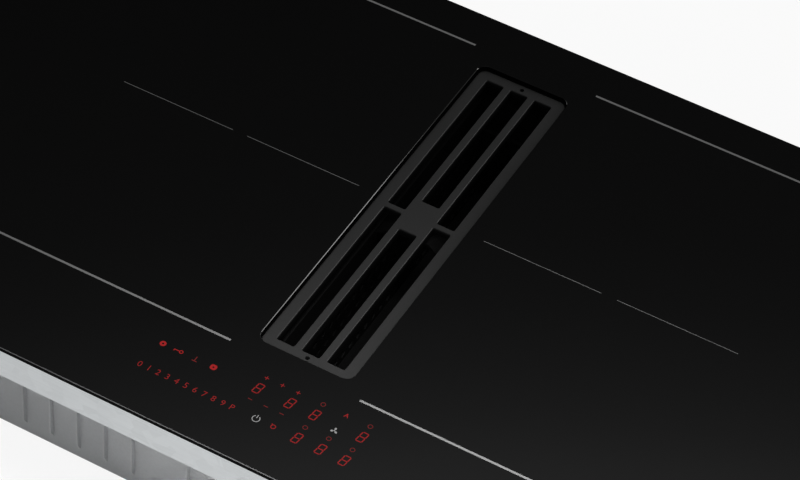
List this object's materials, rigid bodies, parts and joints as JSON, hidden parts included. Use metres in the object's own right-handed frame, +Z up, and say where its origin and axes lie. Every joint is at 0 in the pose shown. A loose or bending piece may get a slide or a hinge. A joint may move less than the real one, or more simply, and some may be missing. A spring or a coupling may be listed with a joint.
{
  "type": "downdraft induction cooktop",
  "caption": "Built-in induction hob of black glass with touch controls and a central extractor: grille, grease filter, drip tray, airbox, blower and flat-duct outlet below.",
  "frame": {"origin": "below the middle of the glass, on the flat underside of the airbox", "axes": "+X to the right along the glass, +Y to the back, +Z up; the controls are at the front, -Y"},
  "size_m": [0.83, 0.515, 0.216],
  "materials": {
    "black_glass": "polished opaque glass-ceramic",
    "foam": "closed-cell foam",
    "black_plastic": "fine moulded grain",
    "grille_coating": "matt black powder coat on cast metal",
    "silicone": "soft silicone",
    "stainless": "brushed",
    "filter_aluminium": "expanded metal",
    "tray_plastic": "smooth, dishwasher-proof",
    "zinc_steel": "zinc-coated sheet",
    "screw_steel": "zinc-plated",
    "copper_litz": "stranded copper",
    "white_plastic": "smooth",
    "ferrite": "pressed and sintered",
    "mica": "pressed sheet",
    "aluminium": "mill finish",
    "board_laminate": "solder mask",
    "blue_plastic": "smooth sleeve",
    "gland_plastic": "moulded, dark grey",
    "airbox_plastic": "moulded grain, light grey",
    "impeller_plastic": "glass-filled",
    "motor_iron": "laminated core",
    "printed_marks": "grey print fired on the glass",
    "lit_marks": "red light through the glass"
  },
  "bodies": {
    "hob": {"glass_plate": "black_glass", "worktop_seal": "foam", "inlet_surround": "black_plastic", "inlet_seal": "foam", "casing_tray": "zinc_steel", "casing_frame": "zinc_steel", "casing_screws": "screw_steel", "coil_windings": "copper_litz", "coil_formers": "white_plastic", "ferrite_bars": "ferrite", "mica_sheets": "mica", "coil_sensors": "screw_steel", "coil_carriers": "aluminium", "carrier_posts": "aluminium", "carrier_pads": "silicone", "power_boards": "board_laminate", "board_standoffs": "white_plastic", "heatsinks": "aluminium", "power_transistors": "black_plastic", "board_capacitors": "blue_plastic", "line_chokes": "copper_litz", "fan_frame_left": "black_plastic", "fan_frame_right": "black_plastic", "control_frame": "white_plastic", "control_board": "board_laminate", "display_modules": "black_plastic", "touch_pads": "foam", "cable_gland": "gland_plastic", "gland_lock_nut": "gland_plastic", "terminal_block": "white_plastic", "airbox_lower": "airbox_plastic", "airbox_upper": "airbox_plastic", "joint_screws": "screw_steel", "blower_housing_lower": "black_plastic", "blower_housing_upper": "black_plastic", "blower_mounts": "silicone", "motor_bearings": "screw_steel", "motor_stator": "motor_iron", "motor_plate": "zinc_steel", "outlet_spigot": "black_plastic", "extractor_control_box": "gland_plastic", "extractor_control_lid": "gland_plastic", "extractor_control_board": "board_laminate", "clamp_brackets": "zinc_steel", "clamp_screws": "screw_steel"},
    "drip_tray": {"drip_tray": "tray_plastic"},
    "grease_filter": {"filter_frame": "stainless", "filter_mesh": "filter_aluminium", "filter_handle": "stainless"},
    "grille": {"grille": "grille_coating", "grille_feet": "silicone"},
    "blower_rotor": {"blower_impeller": "impeller_plastic", "motor_rotor_cup": "screw_steel", "motor_shaft": "screw_steel"},
    "cooling_fan_left": {"fan_rotor_left": "black_plastic"},
    "cooling_fan_right": {"fan_rotor_right": "black_plastic"},
    "clamp_front_left": {"clamp_arm_front_left": "zinc_steel"},
    "clamp_front_right": {"clamp_arm_front_right": "zinc_steel"},
    "clamp_rear_left": {"clamp_arm_rear_left": "zinc_steel"},
    "clamp_rear_right": {"clamp_arm_rear_right": "zinc_steel"}
  },
  "joints": [
    {"name": "drip_tray_lift", "type": "slide", "parent": "hob", "child": "drip_tray", "axis": [0, 0, 1], "range_m": [0, 0.19]},
    {"name": "filter_lift", "type": "slide", "parent": "drip_tray", "child": "grease_filter", "axis": [0, 0, 1], "range_m": [0, 0.14]},
    {"name": "grille_lift", "type": "slide", "parent": "grease_filter", "child": "grille", "axis": [0, 0, 1], "range_m": [0, 0.04]},
    {"name": "blower_spin", "type": "hinge", "parent": "hob", "child": "blower_rotor", "pos_m": [-0.192, -0.02, 0.0125], "axis": [0, 0, 1], "continuous": true},
    {"name": "cooling_fan_spin_left", "type": "hinge", "parent": "hob", "child": "cooling_fan_left", "pos_m": [-0.352, 0.12, 0.157], "axis": [0, 0, 1], "continuous": true},
    {"name": "cooling_fan_spin_right", "type": "hinge", "parent": "hob", "child": "cooling_fan_right", "pos_m": [0.352, 0.12, 0.157], "axis": [0, 0, 1], "continuous": true},
    {"name": "clamp_swing_front_left", "type": "hinge", "parent": "hob", "child": "clamp_front_left", "pos_m": [-0.4, -0.15, 0.1615], "axis": [0, 0, 1], "range_deg": [0, 90]},
    {"name": "clamp_swing_front_right", "type": "hinge", "parent": "hob", "child": "clamp_front_right", "pos_m": [0.4, -0.15, 0.1615], "axis": [0, 0, -1], "range_deg": [0, 90]},
    {"name": "clamp_swing_rear_left", "type": "hinge", "parent": "hob", "child": "clamp_rear_left", "pos_m": [-0.4, 0.15, 0.1615], "axis": [0, 0, -1], "range_deg": [0, 90]},
    {"name": "clamp_swing_rear_right", "type": "hinge", "parent": "hob", "child": "clamp_rear_right", "pos_m": [0.4, 0.15, 0.1615], "axis": [0, 0, 1], "range_deg": [0, 90]}
  ]
}
